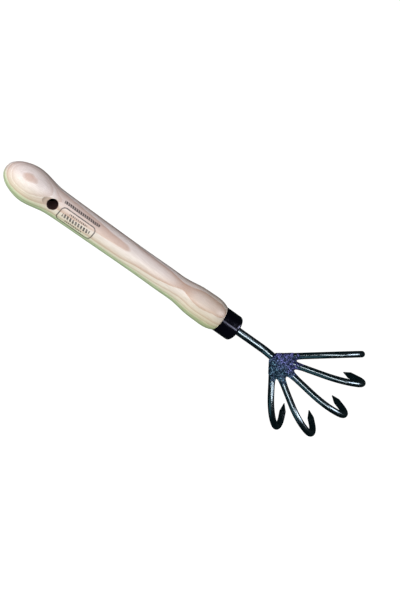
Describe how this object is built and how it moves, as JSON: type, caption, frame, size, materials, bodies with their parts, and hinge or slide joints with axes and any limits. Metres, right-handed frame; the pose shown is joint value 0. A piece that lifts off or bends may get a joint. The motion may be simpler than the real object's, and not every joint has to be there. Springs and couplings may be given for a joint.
{
  "type": "hand rake",
  "caption": "Short-handled garden hand rake with a turned wooden grip, a steel ferrule and hooked, pointed tines fanned out from a welded hub.",
  "frame": {"origin": "middle of the hang hole, on the handle's axis", "axes": "+X along the handle toward the tines; +Z along the hang hole, toward the side away from the hooks; +Y the tool's left side"},
  "size_m": [0.4405, 0.1255, 0.0644],
  "materials": {
    "ash_wood": "pale ash under a clear satin varnish",
    "black_ferrule": "gloss black lacquer",
    "black_rod": "gloss black lacquer, slightly uneven",
    "black_weld": "black lacquer over rough weld metal"
  },
  "bodies": {
    "root": {"handle": "ash_wood", "ferrule": "black_ferrule", "neck_rod": "black_rod", "tine_outer_left": "black_rod", "tine_inner_left": "black_rod", "tine_centre": "black_rod", "tine_inner_right": "black_rod", "tine_outer_right": "black_rod", "hub_weld_upper": "black_weld", "hub_weld_lower": "black_weld", "web_weld_1": "black_weld", "web_weld_2": "black_weld", "web_weld_3": "black_weld", "web_weld_4": "black_weld"}
  },
  "joints": []
}
